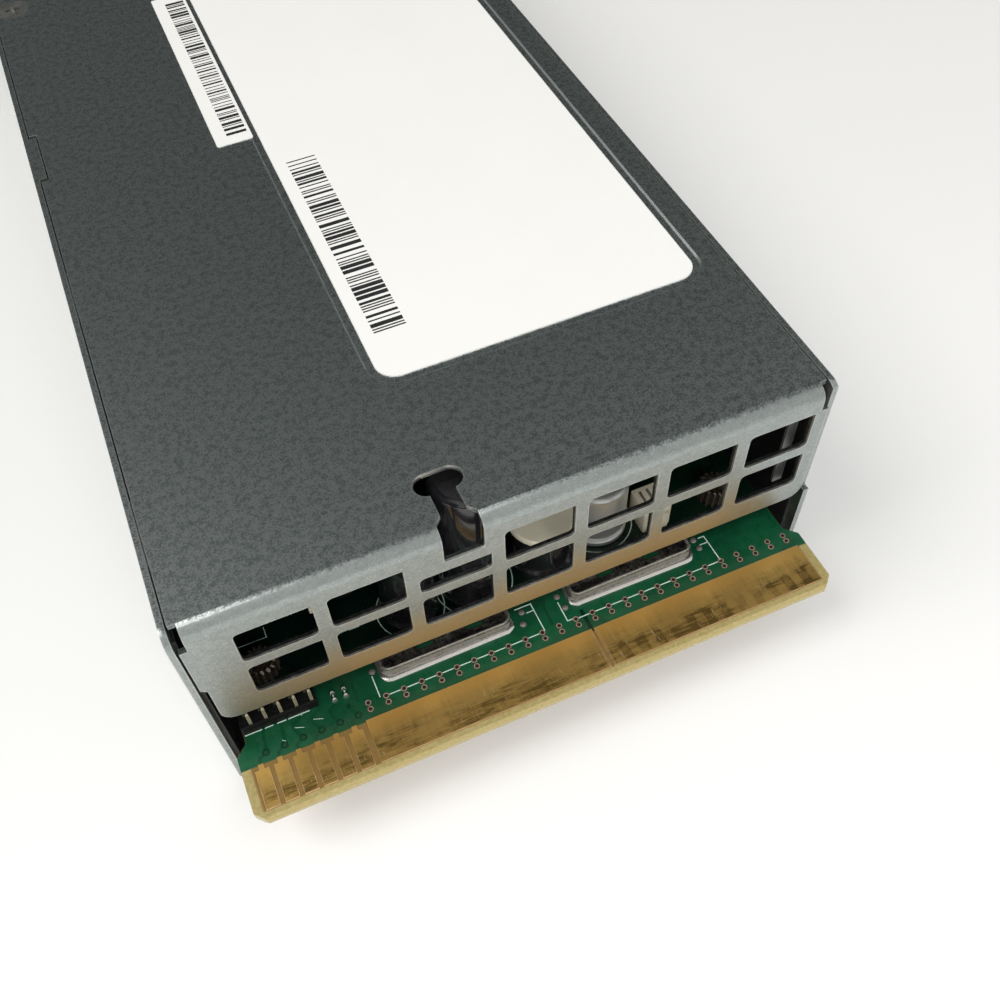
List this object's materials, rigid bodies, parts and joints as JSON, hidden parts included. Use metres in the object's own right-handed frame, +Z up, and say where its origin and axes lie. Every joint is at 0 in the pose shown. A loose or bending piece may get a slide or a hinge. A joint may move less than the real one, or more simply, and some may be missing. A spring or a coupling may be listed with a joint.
{
  "type": "hot swap power supply",
  "caption": "Slim steel power supply for a rack server, with a windowed outlet grille, a gold card edge plug, a pull loop, a side latch, a mains inlet and a fan.",
  "frame": {"origin": "centre of the case's flat underside", "axes": "+X to the right when the card edge is faced, +Y from the card edge to the handle end, +Z up from the underside to the labelled cover"},
  "size_m": [0.0884, 0.2237, 0.0391],
  "materials": {
    "galvanised_steel": "mottled zinc coating, satin",
    "spring_steel": "satin",
    "black_film": "matte",
    "white_label": "satin paper film",
    "zinc_screw": "satin",
    "green_board": "solder mask, glossy",
    "gold_plate": "satin, worn",
    "tinned_copper": "mottled tin",
    "black_plastic": "fine grain",
    "black_sleeve": "glossy sleeve",
    "silver_can": "satin",
    "cream_plastic": "matte",
    "tan_ceramic": "matte",
    "enamelled_copper": "glossy enamel",
    "dark_ferrite": "matte",
    "yellow_tape": "glossy tape",
    "sink_aluminium": "mill finish",
    "grey_film_capacitor": "matte",
    "blue_disc": "glossy",
    "clear_glass": "clear",
    "bright_tin": "bright",
    "latch_green": "satin",
    "lens": "translucent"
  },
  "bodies": {
    "case": {"chassis_tray": "galvanised_steel", "top_cover": "galvanised_steel", "ground_spring": "spring_steel", "insulator_sheet": "black_film", "rating_label": "white_label", "barcode_label": "white_label", "cover_screws": "zinc_screw", "main_board": "green_board", "signal_fingers": "gold_plate", "power_blades": "gold_plate", "board_standoffs": "bright_tin", "board_screws": "zinc_screw", "bus_bars": "tinned_copper", "signal_header": "black_plastic", "header_pins": "gold_plate", "chip_capacitors": "tan_ceramic", "output_capacitors": "black_sleeve", "polymer_capacitors": "silver_can", "drum_choke": "black_plastic", "choke_cap": "cream_plastic", "ring_chokes": "enamelled_copper", "sense_connector": "cream_plastic", "control_card": "green_board", "control_chips": "black_plastic", "film_capacitors": "tan_ceramic", "transformer_core": "dark_ferrite", "transformer_winding": "yellow_tape", "rectifier_heatsink": "sink_aluminium", "rectifier_transistors": "black_plastic", "primary_heatsink": "sink_aluminium", "primary_transistors": "black_plastic", "boost_choke": "enamelled_copper", "filter_choke": "enamelled_copper", "bulk_capacitor": "black_sleeve", "capacitor_cradle": "black_plastic", "relay": "black_plastic", "mains_fuse": "clear_glass", "fuse_clips": "bright_tin", "x_capacitors": "grey_film_capacitor", "y_capacitors": "blue_disc", "mains_inlet": "black_plastic", "inlet_pins": "bright_tin", "fan_frame": "black_plastic", "fan_stator": "enamelled_copper", "fan_screws": "zinc_screw", "pull_handle": "black_plastic", "handle_screws": "zinc_screw", "status_lens": "lens", "latch_pin": "spring_steel"},
    "rotor": {"fan_rotor": "black_plastic", "fan_shaft": "spring_steel"},
    "latch": {"latch_lever": "spring_steel", "latch_pad": "latch_green", "latch_spring": "spring_steel"}
  },
  "joints": [
    {"name": "fan_spin", "type": "hinge", "parent": "case", "child": "rotor", "pos_m": [0.0223, 0.0777, 0.0195], "axis": [0, 1, 0], "continuous": true},
    {"name": "latch_swing", "type": "hinge", "parent": "case", "child": "latch", "pos_m": [-0.038, 0.0545, 0.0215], "axis": [0, 0, -1], "range_deg": [0, 5], "stiffness_Nm_per_rad": 0.8, "springref_deg": -5.73}
  ]
}
